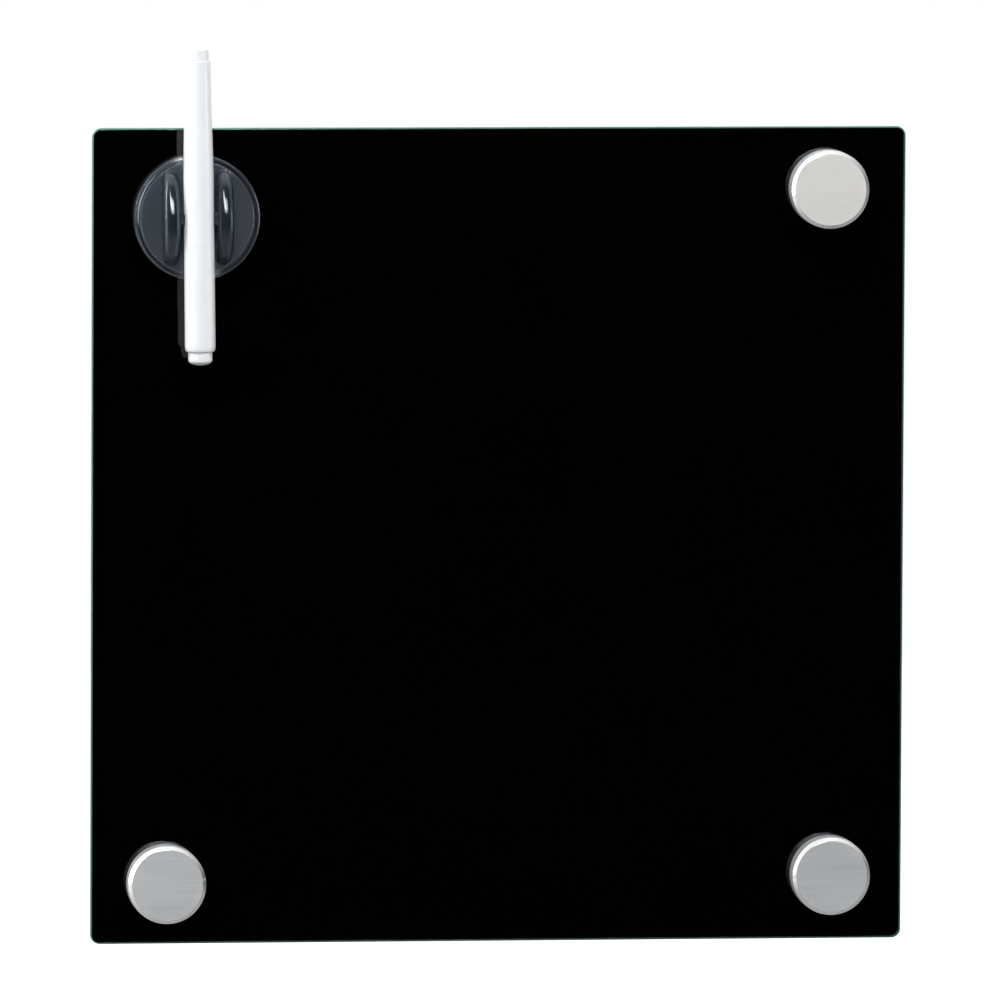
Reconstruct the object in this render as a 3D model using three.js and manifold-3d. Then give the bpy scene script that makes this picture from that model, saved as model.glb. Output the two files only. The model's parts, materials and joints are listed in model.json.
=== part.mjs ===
// Magnetic glass board for a wall: a black-backed glass pane on a folded steel tray,
// with three round magnets and a clear magnetic pen holder that carries a marker.
//
// Millimetres. Board coordinates: x to the right, y up, z out of the wall towards the
// viewer. The outermost group turns them upright, so that z becomes -Y and y becomes +Z.
// The origin is at the wall, behind the middle of the pane.

import * as THREE from 'three';
import { mergeVertices } from 'three/addons/utils/BufferGeometryUtils.js';
import Module from 'manifold-3d';

const wasm = await Module();
wasm.setup();

// Pane and the layers behind it
const boardWidth = 350;
const boardHeight = 350;
const glassThickness = 4;
const glassCornerRadius = 4;
const glassArris = 0.6;
const filmThickness = 0.3;
const tapeThickness = 0.8;
const tapeWidth = 20;
const tapeEndMargin = 12;
const tapeCount = 5;
const layerGap = 0.05; // glue line between two flat layers

// Folded steel tray
const traySheet = 0.8;
const trayInset = 18; // from the edge of the glass to the outside of the tray
const trayReturn = 7; // depth of the folded sides, over the sheet
const trayBendRadius = 1;
const trayCornerRelief = 5;
const wallGap = 9; // wall to the rear face of the tray's floor

// Hanger brackets, pressed to a hat section
const hangerSheet = 1.2;
const hangerCrown = 26; // flat that lies on the wall
const hangerHeight = 28;
const hangerFoot = 11;
const hangerSplay = 2; // how far each riser leans out
const hangerFromSide = 52; // outside of the tray to the middle of the bracket
const keyholeRadius = 4.6;
const keyholeSlotWidth = 4.8;
const keyholeRise = 8; // middle of the round hole to the middle of the slot's end
const keyholeDrop = 5; // middle of the round hole under the middle of the bracket

// Rivets
const rivetShankRadius = 1.6;
const rivetHeadRadius = 3;
const rivetDomeHeight = 1.1;
const rivetFlatShare = 0.6; // height of the flat head, of the tape's thickness
const rivetFit = 0.2;

// Rubber bumpers
const bumperRadius = 8;
const bumperEdge = 1.5;
const bumperFromSide = 22; // outside of the tray to the middle of the bumper

// Round magnets
const magnetRadius = 16.75;
const magnetHeight = 12; // glass to the face of the shell
const magnetBevel = 1.5;
const shellWall = 1.3;
const shellFace = 1.8;
const shellInnerRound = 1;
const shellRimGap = 0.35; // the pad alone touches the glass
const coreFit = 0.15;
const coreRecess = 0.4; // core inside the rim of the shell
const discRadius = 10;
const discThickness = 5;
const padThickness = 0.5;
const padInset = 1.2;

// Where the magnets stand, from the sides and the ends of the pane
const topRightFromSide = 33.8;
const topRightFromTop = 26.5;
const bottomLeftFromSide = 32;
const bottomLeftFromBottom = 26.4;
const bottomRightFromSide = 31.6;
const bottomRightFromBottom = 28;

// Pen holder
const holderFromSide = 44.2;
const holderFromTop = 37.8;
const holderLean = THREE.MathUtils.degToRad(0.76); // it stands a little turned on the glass
const dishRadius = 27;
const dishHeight = 9;
const dishFace = 1.8;
const dishRimWidth = 2.2;
const dishRimRise = 0.8;
const dishRimRound = 1.2;
const dishBackGap = 0.35;
const jawWidth = 7.2;
const jawLength = 41;
const jawRise = 12.4; // over the face of the dish
const jawRound = 3;
const jawWall = 1.3;
const jawCoreEdge = 1; // chamfer of the hollow behind a jaw
const clipHeight = 4.7;
const clipFloor = 1.1; // under the pen
const clipWall = 1.1; // beside the pen, up to the jaws
const clipReach = 2.7; // how far its lips stand out past the middle of the pen
const basePlate = 1;
const holderFit = 0.2;

// Marker
const penLength = 135.2;
const penBelowHolder = 62.5; // lower end of the pen under the middle of the holder
const penSlideFit = 0.15;
const capLength = 51;
const capRadius = 6.6;
const capMouthRadius = 6.5;
const capWall = 1.1;
const capEndWall = 3;
const capKnobRadius = 5.2;
const capKnobLength = 6;
const capKnobCrown = 2.3;
const capShoulder = 2.6;
const barrelFootRadius = 6.5;
const barrelBellyRadius = 6.45;
const barrelBellyFrom = 80; // lower end of the pen to where the barrel starts to narrow
const barrelWaistRadius = 6.1;
const barrelWaistFrom = 100;
const barrelTopRadius = 5.6;
const barrelBore = 4.4;
const barrelEdge = 0.6;
const spigotLength = 8;
const spigotFit = 0.2;
const collarRadius = 4.9;
const collarLength = 4.8;
const collarRound = 0.6;
const plugLength = 4;
const boreFit = 0.2;
const sectionLength = 10;
const sectionTipRadius = 3.2;
const nibRadius = 2;
const nibReach = 6;
const nibRound = 1.2;
const nibFit = 0.15;
const seatGap = 0.1;

// How finely the round pieces are divided
const fineSides = 52;
const roundSides = 36;
const smallSides = 18;
const roundSteps = 4;
const overrun = 1; // how far a cutting shape runs past what it cuts

// Depths, from the wall outwards
const trayBack = wallGap;
const trayFront = trayBack + traySheet;
const tapeBack = trayFront + layerGap;
const filmBack = tapeBack + tapeThickness + layerGap;
const glassBack = filmBack + filmThickness + layerGap;
const glassFront = glassBack + glassThickness;

// Tray and what is laid out on it
const trayWidth = boardWidth - 2 * trayInset;
const trayHeight = boardHeight - 2 * trayInset;
const tapeLength = trayWidth - 2 * tapeEndMargin;
const tapePitch = (trayHeight - 2 * tapeEndMargin - tapeWidth) / (tapeCount - 1);
const hangerX = trayWidth / 2 - hangerFromSide;
const hangerY = tapePitch * (tapeCount - 2) / 2; // between the two uppermost strips
const bumperX = trayWidth / 2 - bumperFromSide;
const bumperY = trayHeight / 2 - bumperFromSide;
const feetFront = trayBack - layerGap;
const feetBack = feetFront - hangerSheet;

// Inside of a magnet, as heights over the glass
const coreRadius = magnetRadius - shellWall - coreFit;
const coreFront = magnetHeight - shellFace - layerGap;
const coreBack = shellRimGap + coreRecess;
const pocketRadius = discRadius + coreFit;
const discBack = coreBack + layerGap;
const pocketFront = discBack + discThickness + layerGap;
const padFront = coreBack - layerGap;

// Pen and holder, as heights over the glass
const penRadius = Math.max(capRadius, barrelFootRadius);
const grooveRadius = penRadius + penSlideFit;
const faceLevel = dishHeight - dishRimRise;
const faceUnder = faceLevel - dishFace;
const penLevel = faceLevel + clipFloor + grooveRadius;
const jawInner = grooveRadius + clipWall;
const jawMiddle = jawInner + jawWidth / 2;
const dishPocket = dishRadius - dishRimWidth;
const holderDisc = dishPocket - holderFit;
const baseBack = layerGap + padThickness + layerGap;
const holderDiscBack = baseBack + basePlate + layerGap;

// Along the pen, from its lower end
const barrelStart = capLength + seatGap;
const barrelEnd = penLength - collarLength - seatGap;
const spigotEnd = barrelStart - spigotLength;
const sectionEnd = spigotEnd - sectionLength;
const nibEnd = sectionEnd - nibReach;
const plugRadius = barrelBore - boreFit;
const reservoirEnd = barrelEnd - plugLength - seatGap;

const finishes = {
  glass: { color: 0xcfe8df, roughness: 0.05, metalness: 0 },
  film: { color: 0x050505, roughness: 0.5, metalness: 0 },
  tape: { color: 0xe8e6df, roughness: 0.9, metalness: 0 },
  galvanised: { color: 0x9ea3a6, roughness: 0.45, metalness: 0.9 },
  zinc: { color: 0xb9bcc0, roughness: 0.35, metalness: 1 },
  rivet: { color: 0xc4c6c8, roughness: 0.4, metalness: 1 },
  rubber: { color: 0x1c1c1c, roughness: 0.85, metalness: 0 },
  satinSteel: { color: 0xb4b2b0, roughness: 0.35, metalness: 1 },
  blackPlastic: { color: 0x161616, roughness: 0.6, metalness: 0 },
  nickel: { color: 0xc9c7c2, roughness: 0.2, metalness: 1 },
  pad: { color: 0x26262a, roughness: 0.9, metalness: 0 },
  clearPlastic: { color: 0x49515c, roughness: 0.12, metalness: 0 },
  ferrite: { color: 0x2f3236, roughness: 0.7, metalness: 0.2 },
  whitePlastic: { color: 0xf6f7f8, roughness: 0.15, metalness: 0 },
  fibre: { color: 0xd9d7cf, roughness: 1, metalness: 0 },
  inkedFelt: { color: 0x17171b, roughness: 0.95, metalness: 0 },
};

// One named piece
function piece(name, geometry, finish) {
  const mesh = new THREE.Mesh(geometry, new THREE.MeshStandardMaterial(finishes[finish]));
  mesh.name = name;
  return mesh;
}

// A geometry as a solid that can be joined and cut
function toSolid(geometry) {
  const bare = geometry.clone();
  bare.deleteAttribute('normal');
  bare.deleteAttribute('uv');
  const merged = mergeVertices(bare);
  const corners = Array.from(merged.index.array);
  const triVerts = [];
  for (let i = 0; i < corners.length; i += 3) {
    const [a, b, c] = corners.slice(i, i + 3);
    if (a !== b && b !== c && c !== a) {
      triVerts.push(a, b, c); // a turned shape has triangles with no area at its poles
    }
  }
  return new wasm.Manifold(new wasm.Mesh({
    numProp: 3,
    vertProperties: new Float32Array(merged.attributes.position.array),
    triVerts: new Uint32Array(triVerts),
  }));
}

function toGeometry(solid) {
  const mesh = solid.getMesh();
  const geometry = new THREE.BufferGeometry();
  geometry.setAttribute('position', new THREE.BufferAttribute(mesh.vertProperties, 3));
  geometry.setIndex(new THREE.BufferAttribute(mesh.triVerts, 1));
  geometry.computeVertexNormals();
  return geometry;
}

function join(first, ...others) {
  return toGeometry(others.reduce((sum, other) => sum.add(toSolid(other)), toSolid(first)));
}

function cut(base, ...tools) {
  return toGeometry(tools.reduce((rest, tool) => rest.subtract(toSolid(tool)), toSolid(base)));
}

// Rectangle about the origin with rounded corners
function roundedRectangle(width, height, radius) {
  const x = width / 2 - radius;
  const y = height / 2 - radius;
  const shape = new THREE.Shape();
  shape.absarc(x, -y, radius, -Math.PI / 2, 0, false);
  shape.absarc(x, y, radius, 0, Math.PI / 2, false);
  shape.absarc(-x, y, radius, Math.PI / 2, Math.PI, false);
  shape.absarc(-x, -y, radius, Math.PI, Math.PI * 3 / 2, false);
  return shape;
}

// Flat outline given its thickness, from one depth outwards
function plate(shape, back, thickness, curveSegments = 6) {
  const options = { depth: thickness, bevelEnabled: false, curveSegments };
  return new THREE.ExtrudeGeometry(shape, options).translate(0, 0, back);
}

// Section of width and depth, run up and down about the middle
function folded(section, length, curveSegments = 3) {
  const options = { depth: length, bevelEnabled: false, curveSegments };
  const run = new THREE.ExtrudeGeometry(section, options);
  return run.translate(0, 0, -length / 2).rotateX(Math.PI / 2);
}

// Solid turned about its own y axis, from a profile of radius and height
function turned(profile, sides) {
  const points = profile.map(([radius, height]) => new THREE.Vector2(radius, height));
  return new THREE.LatheGeometry(points, sides);
}

// The same, standing out of the board: height becomes depth
function turnedOut(profile, sides) {
  return turned(profile, sides).rotateX(Math.PI / 2);
}

// Quarter round of a profile, from one point to another round the corner between them
function quarter(from, to, corner) {
  const points = [];
  for (let i = 0; i <= roundSteps; i += 1) {
    const angle = Math.PI / 2 * i / roundSteps;
    const pullFrom = 1 - Math.sin(angle);
    const pullTo = 1 - Math.cos(angle);
    points.push([0, 1].map((axis) => corner[axis]
      + (from[axis] - corner[axis]) * pullFrom
      + (to[axis] - corner[axis]) * pullTo));
  }
  return points;
}

// Board

function flatOfGlass() {
  const width = boardWidth - 2 * glassArris;
  const height = boardHeight - 2 * glassArris;
  return roundedRectangle(width, height, glassCornerRadius - glassArris);
}

// Pane with rounded corners and a ground arris round both faces
function glassPane() {
  const pane = new THREE.ExtrudeGeometry(flatOfGlass(), {
    depth: glassThickness - 2 * glassArris,
    bevelEnabled: true,
    bevelSize: glassArris,
    bevelThickness: glassArris,
    bevelSegments: 1,
    curveSegments: 6,
  });
  return pane.translate(0, 0, glassBack + glassArris);
}

function tapeStrip(index) {
  const strip = new THREE.BoxGeometry(tapeLength, tapeWidth, tapeThickness);
  const y = tapePitch * (index - (tapeCount - 1) / 2);
  return strip.translate(0, y, tapeBack + tapeThickness / 2);
}

// Floor of the tray with two opposite sides folded back towards the wall
function foldedChannel(span, length) {
  const outer = trayBendRadius + traySheet;
  const side = span / 2;
  const bend = side - outer;
  const bendLevel = trayFront - outer;
  const lip = trayFront - trayReturn;
  const section = new THREE.Shape();
  section.moveTo(-side, lip);
  section.lineTo(-side + traySheet, lip);
  section.absarc(-bend, bendLevel, trayBendRadius, Math.PI, Math.PI / 2, true);
  section.absarc(bend, bendLevel, trayBendRadius, Math.PI / 2, 0, true);
  section.lineTo(side - traySheet, lip);
  section.lineTo(side, lip);
  section.absarc(bend, bendLevel, outer, 0, Math.PI / 2, false);
  section.absarc(-bend, bendLevel, outer, Math.PI / 2, Math.PI, false);
  return folded(section, length);
}

// Middles of the two rivets of a bracket
function rivetPlaces(side) {
  const reach = hangerCrown / 2 + hangerSplay + hangerFoot / 2;
  return [-1, 1].map((end) => [side * hangerX + end * reach, hangerY]);
}

function rivetDrills(sides) {
  const radius = rivetShankRadius + rivetFit;
  const depth = trayFront - feetBack + 2 * overrun;
  return sides.flatMap(rivetPlaces).map(([x, y]) => {
    const drill = new THREE.CylinderGeometry(radius, radius, depth, smallSides);
    return drill.rotateX(Math.PI / 2).translate(x, y, (trayFront + feetBack) / 2);
  });
}

function steelBackTray() {
  const sides = foldedChannel(trayWidth, trayHeight - 2 * trayCornerRelief);
  const ends = foldedChannel(trayHeight, trayWidth - 2 * trayCornerRelief);
  return cut(join(sides, ends.rotateZ(Math.PI / 2)), ...rivetDrills([-1, 1]));
}

// Hat section: the crown lies on the wall, the feet on the tray
function hangerSection() {
  const crown = hangerCrown / 2;
  const knee = crown + hangerSplay;
  const tip = knee + hangerFoot;
  const lean = hangerSheet / 2;
  const right = [
    [crown, 0],
    [knee + lean, feetBack],
    [tip, feetBack],
    [tip, feetFront],
    [knee - lean, feetFront],
    [crown - hangerSheet, hangerSheet],
  ];
  const left = right.map(([x, depth]) => [-x, depth]).reverse();
  return new THREE.Shape([...right, ...left].map(([x, depth]) => new THREE.Vector2(x, depth)));
}

// Round hole for the head of a screw, with a narrow slot above it for its shank
function keyhole() {
  const slot = keyholeSlotWidth / 2;
  const neck = Math.asin(slot / keyholeRadius);
  const hole = new THREE.Shape();
  hole.absarc(0, 0, keyholeRadius, Math.PI / 2 + neck, Math.PI * 5 / 2 - neck, false);
  hole.absarc(0, keyholeRise, slot, 0, Math.PI, false);
  return plate(hole, -overrun, hangerSheet + 2 * overrun, 10);
}

function hanger(side) {
  const blank = folded(hangerSection(), hangerHeight).translate(side * hangerX, hangerY, 0);
  const opening = keyhole().translate(side * hangerX, hangerY - keyholeDrop, 0);
  return cut(blank, opening, ...rivetDrills([side]));
}

// Domed on the bracket, flat beside the tape
function rivet([x, y]) {
  const domeBase = feetBack - layerGap;
  const flatBase = trayFront + layerGap;
  const flatTop = flatBase + tapeThickness * rivetFlatShare;
  const domeTop = domeBase - rivetDomeHeight;
  const profile = [
    ...quarter([0, domeTop], [rivetHeadRadius, domeBase], [rivetHeadRadius, domeTop]),
    [rivetShankRadius, domeBase],
    [rivetShankRadius, flatBase],
    [rivetHeadRadius, flatBase],
    [rivetHeadRadius, flatTop],
    [0, flatTop],
  ];
  return turnedOut(profile, smallSides).translate(x, y, 0);
}

// Self-adhesive foot with a rounded edge towards the wall
function bumper(side) {
  const front = trayBack - layerGap;
  const flat = bumperRadius - bumperEdge;
  const profile = [
    [0, 0],
    ...quarter([flat, 0], [bumperRadius, bumperEdge], [bumperRadius, 0]),
    [bumperRadius, front],
    [0, front],
  ];
  return turnedOut(profile, roundSides).translate(side * bumperX, -bumperY, 0);
}

function board() {
  const group = new THREE.Group();
  group.add(piece('glass_pane', glassPane(), 'glass'));
  group.add(piece('backing_film', plate(flatOfGlass(), filmBack, filmThickness), 'film'));
  for (let i = 0; i < tapeCount; i += 1) {
    group.add(piece(`tape_strip_${i + 1}`, tapeStrip(i), 'tape'));
  }
  group.add(piece('steel_back_tray', steelBackTray(), 'galvanised'));
  for (const [name, side] of [['left', -1], ['right', 1]]) {
    group.add(piece(`hanger_${name}`, hanger(side), 'zinc'));
    const [low, high] = rivetPlaces(side);
    group.add(piece(`rivet_${name}_a`, rivet(low), 'rivet'));
    group.add(piece(`rivet_${name}_b`, rivet(high), 'rivet'));
    group.add(piece(`bumper_${name}`, bumper(side), 'rubber'));
  }
  return group;
}

// Round magnets, each from the glass outwards

// Turned cup with a polished bevel round its face
function magnetShell() {
  const inner = magnetRadius - shellWall;
  const under = magnetHeight - shellFace;
  const profile = [
    [0, under],
    ...quarter(
      [inner - shellInnerRound, under],
      [inner, under - shellInnerRound],
      [inner, under],
    ),
    [inner, shellRimGap],
    [magnetRadius, shellRimGap],
    [magnetRadius, magnetHeight - magnetBevel],
    [magnetRadius - magnetBevel, magnetHeight],
    [0, magnetHeight],
  ];
  return turnedOut(profile, fineSides);
}

// Plastic that fills the shell, with a pocket for the disc
function magnetCore() {
  const relief = shellInnerRound + coreFit;
  const profile = [
    [0, pocketFront],
    [pocketRadius, pocketFront],
    [pocketRadius, coreBack],
    [coreRadius, coreBack],
    [coreRadius, coreFront - relief],
    [coreRadius - relief, coreFront],
    [0, coreFront],
  ];
  return turnedOut(profile, roundSides);
}

function flatDisc(radius, back, front, sides) {
  return turnedOut([[0, back], [radius, back], [radius, front], [0, front]], sides);
}

function magnet(name, x, y) {
  const group = new THREE.Group();
  group.position.set(x, y, glassFront);
  const disc = flatDisc(discRadius, discBack, discBack + discThickness, roundSides);
  const pad = flatDisc(coreRadius - padInset, layerGap, padFront, roundSides);
  group.add(piece(`magnet_shell_${name}`, magnetShell(), 'satinSteel'));
  group.add(piece(`magnet_core_${name}`, magnetCore(), 'blackPlastic'));
  group.add(piece(`magnet_disc_${name}`, disc, 'nickel'));
  group.add(piece(`magnet_pad_${name}`, pad, 'pad'));
  return group;
}

// Pen holder, from the glass outwards

// Round shell, open at the back, with a raised rim round its face
function dish() {
  const rimRoundStart = dishHeight - dishRimRound;
  const profile = [
    [0, faceUnder],
    [dishPocket, faceUnder],
    [dishPocket, dishBackGap],
    [dishRadius, dishBackGap],
    ...quarter(
      [dishRadius, rimRoundStart],
      [dishRadius - dishRimRound, dishHeight],
      [dishRadius, dishHeight],
    ),
    [dishPocket, dishHeight],
    [dishPocket - dishRimRise, faceLevel],
    [0, faceLevel],
  ];
  return turnedOut(profile, fineSides);
}

// Half-moon seen from the side, set in from the outside of the jaw all round
function halfMoon(inset, low) {
  const halfLength = jawLength / 2;
  const radius = (halfLength ** 2 + jawRise ** 2) / (2 * jawRise);
  const middle = faceLevel + jawRise - radius;
  const end = Math.acos((halfLength - inset) / (radius - inset));
  const shape = new THREE.Shape();
  shape.moveTo(-halfLength + inset, low);
  shape.lineTo(halfLength - inset, low);
  shape.absarc(0, middle, radius - inset, end, Math.PI - end, false);
  return shape;
}

// Its length runs up the board, its height out of the dish, its width across
function acrossBoard(shape, width, round, steps) {
  const moon = new THREE.ExtrudeGeometry(shape, {
    depth: width - 2 * round,
    bevelEnabled: true,
    bevelSize: round,
    bevelOffset: -round,
    bevelThickness: round,
    bevelSegments: steps,
    curveSegments: 14,
  });
  const upright = new THREE.Matrix4().makeBasis(
    new THREE.Vector3(0, 1, 0),
    new THREE.Vector3(0, 0, 1),
    new THREE.Vector3(1, 0, 0),
  );
  return moon.translate(0, 0, round - width / 2).applyMatrix4(upright);
}

// Arched jaw with a rounded edge, cut off level inside the face of the dish
function jaw(side) {
  const root = faceUnder + dishFace / 2;
  const whole = acrossBoard(halfMoon(0, root - 2 * jawRound), jawWidth, jawRound, roundSteps);
  const below = new THREE.BoxGeometry(2 * jawWidth, 2 * jawLength, 2 * jawRise);
  const trimmed = cut(whole, below.translate(0, 0, root - jawRise));
  return trimmed.translate(side * jawMiddle, 0, 0);
}

// Hollow that is left behind a jaw, so that its walls are even
function jawCore(side) {
  const width = jawWidth - 2 * jawWall;
  const low = faceUnder - overrun - jawCoreEdge;
  const hollow = acrossBoard(halfMoon(jawWall, low), width, jawCoreEdge, 1);
  return hollow.translate(side * jawMiddle, 0, 0);
}

// Cross rib between the jaws, with a groove that the pen snaps into
function clipBlock() {
  const root = faceUnder + dishFace / 2;
  const top = penLevel + clipReach;
  const width = 2 * jawInner + jawWall;
  const block = new THREE.BoxGeometry(width, clipHeight, top - root);
  return block.translate(0, 0, (top + root) / 2);
}

function penGroove() {
  const groove = new THREE.CylinderGeometry(grooveRadius, grooveRadius, jawLength, fineSides);
  return groove.translate(0, 0, penLevel);
}

function holderBody() {
  const joined = join(dish(), jaw(-1), jaw(1), clipBlock());
  return cut(joined, jawCore(-1), jawCore(1), penGroove());
}

function penHolder() {
  const group = new THREE.Group();
  const discFront = faceUnder - layerGap;
  const disc = flatDisc(holderDisc, holderDiscBack, discFront, fineSides);
  const base = flatDisc(holderDisc, baseBack, baseBack + basePlate, fineSides);
  const pad = flatDisc(holderDisc - padInset, layerGap, layerGap + padThickness, roundSides);
  group.add(piece('holder_body', holderBody(), 'clearPlastic'));
  group.add(piece('holder_magnet', disc, 'ferrite'));
  group.add(piece('holder_base', base, 'blackPlastic'));
  group.add(piece('holder_pad', pad, 'pad'));
  return group;
}

// Marker, each piece turned about the pen's axis

// Barrel: narrows in three stages outside, open bore, spigot that enters the cap
function penBarrel() {
  const spigot = capMouthRadius - capWall - spigotFit;
  const profile = [
    [barrelBore, spigotEnd],
    [spigot, spigotEnd],
    [spigot, barrelStart],
    [barrelFootRadius, barrelStart],
    [barrelBellyRadius, barrelBellyFrom],
    [barrelWaistRadius, barrelWaistFrom],
    [barrelTopRadius, barrelEnd - barrelEdge],
    [barrelTopRadius - barrelEdge, barrelEnd],
    [barrelBore, barrelEnd],
    [barrelBore, spigotEnd],
  ];
  return turned(profile, roundSides);
}

function endPlug() {
  const plugEnd = reservoirEnd + seatGap;
  const seat = barrelEnd + seatGap;
  const profile = [
    [0, plugEnd],
    [plugRadius, plugEnd],
    [plugRadius, seat],
    [collarRadius, seat],
    ...quarter(
      [collarRadius, penLength - collarRound],
      [collarRadius - collarRound, penLength],
      [collarRadius, penLength],
    ),
    [0, penLength],
  ];
  return turned(profile, roundSides);
}

function reservoir() {
  const start = barrelStart + seatGap;
  const profile = [[0, start], [plugRadius, start], [plugRadius, reservoirEnd], [0, reservoirEnd]];
  return turned(profile, smallSides);
}

// Cone that holds the nib, plugged into the bore of the barrel
function nibSection() {
  const bore = nibRadius + nibFit;
  const shoulder = spigotEnd - seatGap;
  const profile = [
    [bore, sectionEnd],
    [sectionTipRadius, sectionEnd],
    [barrelBore, shoulder],
    [plugRadius, shoulder],
    [plugRadius, barrelStart],
    [bore, barrelStart],
    [bore, sectionEnd],
  ];
  return turned(profile, roundSides);
}

function nib() {
  const profile = [
    ...quarter([0, nibEnd], [nibRadius, nibEnd + nibRound], [nibRadius, nibEnd]),
    [nibRadius, barrelStart],
    [0, barrelStart],
  ];
  return turned(profile, smallSides);
}

// Cap: closed, stepped and crowned at its lower end
function penCap() {
  const hollow = capKnobLength + capEndWall;
  const mouth = capMouthRadius - capWall;
  const profile = [
    ...quarter([0, 0], [capKnobRadius, capKnobCrown], [capKnobRadius, 0]),
    [capKnobRadius, capKnobLength],
    ...quarter(
      [capRadius - (capRadius - capKnobRadius) / 2, capKnobLength],
      [capRadius, capKnobLength + capShoulder],
      [capRadius, capKnobLength],
    ),
    [capMouthRadius, capLength],
    [mouth, capLength],
    [mouth, hollow],
    [0, hollow],
  ];
  return turned(profile, roundSides);
}

function marker() {
  const group = new THREE.Group();
  group.position.set(0, -penBelowHolder, penLevel);
  group.add(piece('pen_barrel', penBarrel(), 'whitePlastic'));
  group.add(piece('pen_end_plug', endPlug(), 'whitePlastic'));
  group.add(piece('pen_reservoir', reservoir(), 'fibre'));
  group.add(piece('pen_nib_section', nibSection(), 'whitePlastic'));
  group.add(piece('pen_nib', nib(), 'inkedFelt'));
  group.add(piece('pen_cap', penCap(), 'whitePlastic'));
  return group;
}

const side = boardWidth / 2;
const end = boardHeight / 2;
const upright = new THREE.Group();
upright.rotation.x = Math.PI / 2;
upright.add(board());
upright.add(magnet('top_right', side - topRightFromSide, end - topRightFromTop));
upright.add(magnet('bottom_left', bottomLeftFromSide - side, bottomLeftFromBottom - end));
upright.add(magnet('bottom_right', side - bottomRightFromSide, bottomRightFromBottom - end));

const penStation = new THREE.Group();
penStation.position.set(holderFromSide - side, end - holderFromTop, glassFront);
penStation.rotation.z = holderLean;
penStation.add(penHolder());
penStation.add(marker());
upright.add(penStation);

export default upright;
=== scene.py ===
import json
import math

import bpy
from mathutils import Matrix, Vector


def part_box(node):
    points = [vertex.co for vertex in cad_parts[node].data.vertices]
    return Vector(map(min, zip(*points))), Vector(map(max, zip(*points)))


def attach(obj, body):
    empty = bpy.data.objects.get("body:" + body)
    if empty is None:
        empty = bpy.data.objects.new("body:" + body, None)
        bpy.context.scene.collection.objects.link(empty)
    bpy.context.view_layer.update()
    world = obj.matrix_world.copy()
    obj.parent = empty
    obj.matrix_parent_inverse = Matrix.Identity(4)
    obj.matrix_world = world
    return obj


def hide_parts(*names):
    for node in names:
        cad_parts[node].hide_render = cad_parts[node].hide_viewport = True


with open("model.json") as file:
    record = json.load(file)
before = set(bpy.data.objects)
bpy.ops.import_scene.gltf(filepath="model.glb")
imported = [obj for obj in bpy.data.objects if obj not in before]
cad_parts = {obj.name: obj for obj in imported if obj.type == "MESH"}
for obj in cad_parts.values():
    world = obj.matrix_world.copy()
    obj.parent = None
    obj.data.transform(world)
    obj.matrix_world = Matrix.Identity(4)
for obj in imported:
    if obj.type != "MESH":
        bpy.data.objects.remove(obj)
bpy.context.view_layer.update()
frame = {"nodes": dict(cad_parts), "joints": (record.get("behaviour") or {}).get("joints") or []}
scene = bpy.context.scene
scene.view_settings.view_transform = 'Standard'
mm = 0.001
tolerance = 0.01 * mm  # places nearer to each other than this are the same
weld = 0.001 * mm  # points nearer to each other than this are merged
pinhole = 0.02  # smallest ring in mm, because rings grow by a factor
squareOn = 0.9  # a flat face looks along an axis with at least this share of its normal
joints = {joint["name"]: joint for joint in frame["joints"]}
penAxis = Vector(joints["pen_slide"]["axis"]).normalized()
lean = math.atan2(penAxis.x, penAxis.z)  # holder and marker stand a little turned on the glass
outwards = math.radians(90)  # turns a shape's own z out of the board, towards the viewer
glassLow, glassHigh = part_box("glass_pane")
glassFront = glassLow.y
print("frame loaded with", len(frame["nodes"]), "nodes")


# Picking and placing

def middle(node):
    low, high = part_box(node)
    return (low + high) / 2


def roundSize(node):  # radius and depth in mm
    low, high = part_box(node)
    return (high.x - low.x) / 2 / mm, (high.y - low.y) / mm


def inMode(mode):
    bpy.ops.object.mode_set(mode=mode)


def nothingPicked():
    if bpy.context.object and bpy.context.object.mode != 'OBJECT':
        inMode('OBJECT')
    bpy.ops.object.select_all(action='DESELECT')


def pickOnly(piece):
    nothingPicked()
    piece.select_set(True)
    bpy.context.view_layer.objects.active = piece


def clearPicks(piece, kind):  # nothing of it picked yet, and faces or edges ready to be picked in code
    pickOnly(piece)
    inMode('EDIT')
    bpy.ops.mesh.select_mode(type=kind)
    bpy.ops.mesh.select_all(action='DESELECT')
    inMode('OBJECT')


def pickFaces(piece, test):  # leaves the piece in edit mode
    clearPicks(piece, 'FACE')
    for face in piece.data.polygons:
        face.select = bool(test(face))
    inMode('EDIT')


def pickEdges(piece, test):  # leaves the piece in edit mode
    clearPicks(piece, 'EDGE')
    points = piece.data.vertices
    for edge in piece.data.edges:
        start, end = (points[index].co for index in edge.vertices)
        edge.select = bool(test(start, end))
    inMode('EDIT')


def pickAll():  # of the active piece, left in edit mode
    inMode('EDIT')
    bpy.ops.mesh.select_all(action='SELECT')


def same(a, b):
    return abs(a - b) < tolerance


def copied(piece, move):  # a copy with its own mesh
    pickOnly(piece)
    bpy.ops.object.duplicate()
    return settled(bpy.context.object, move)


def copiesOf(piece, names):  # names by node: the piece stands at the first one, its copies at the others
    first, *others = names
    pieces = {first: piece} | {node: copied(piece, middle(node) - middle(first)) for node in others}
    for node, each in pieces.items():
        each.name = each.data.name = names[node]
    return pieces


def applied(piece):
    pickOnly(piece)
    bpy.ops.object.transform_apply(location=True, rotation=True, scale=True)
    return piece


def settled(piece, place, turn=(0, 0, 0)):  # puts it where it belongs, with its place in its mesh
    piece.location = place
    piece.rotation_euler = turn
    return applied(piece)


def fromWall(piece, node):  # its own z points out of the board, from the node's back
    place = middle(node)
    place.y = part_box(node)[1].y
    return settled(piece, place, (outwards, 0, 0))


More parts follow.
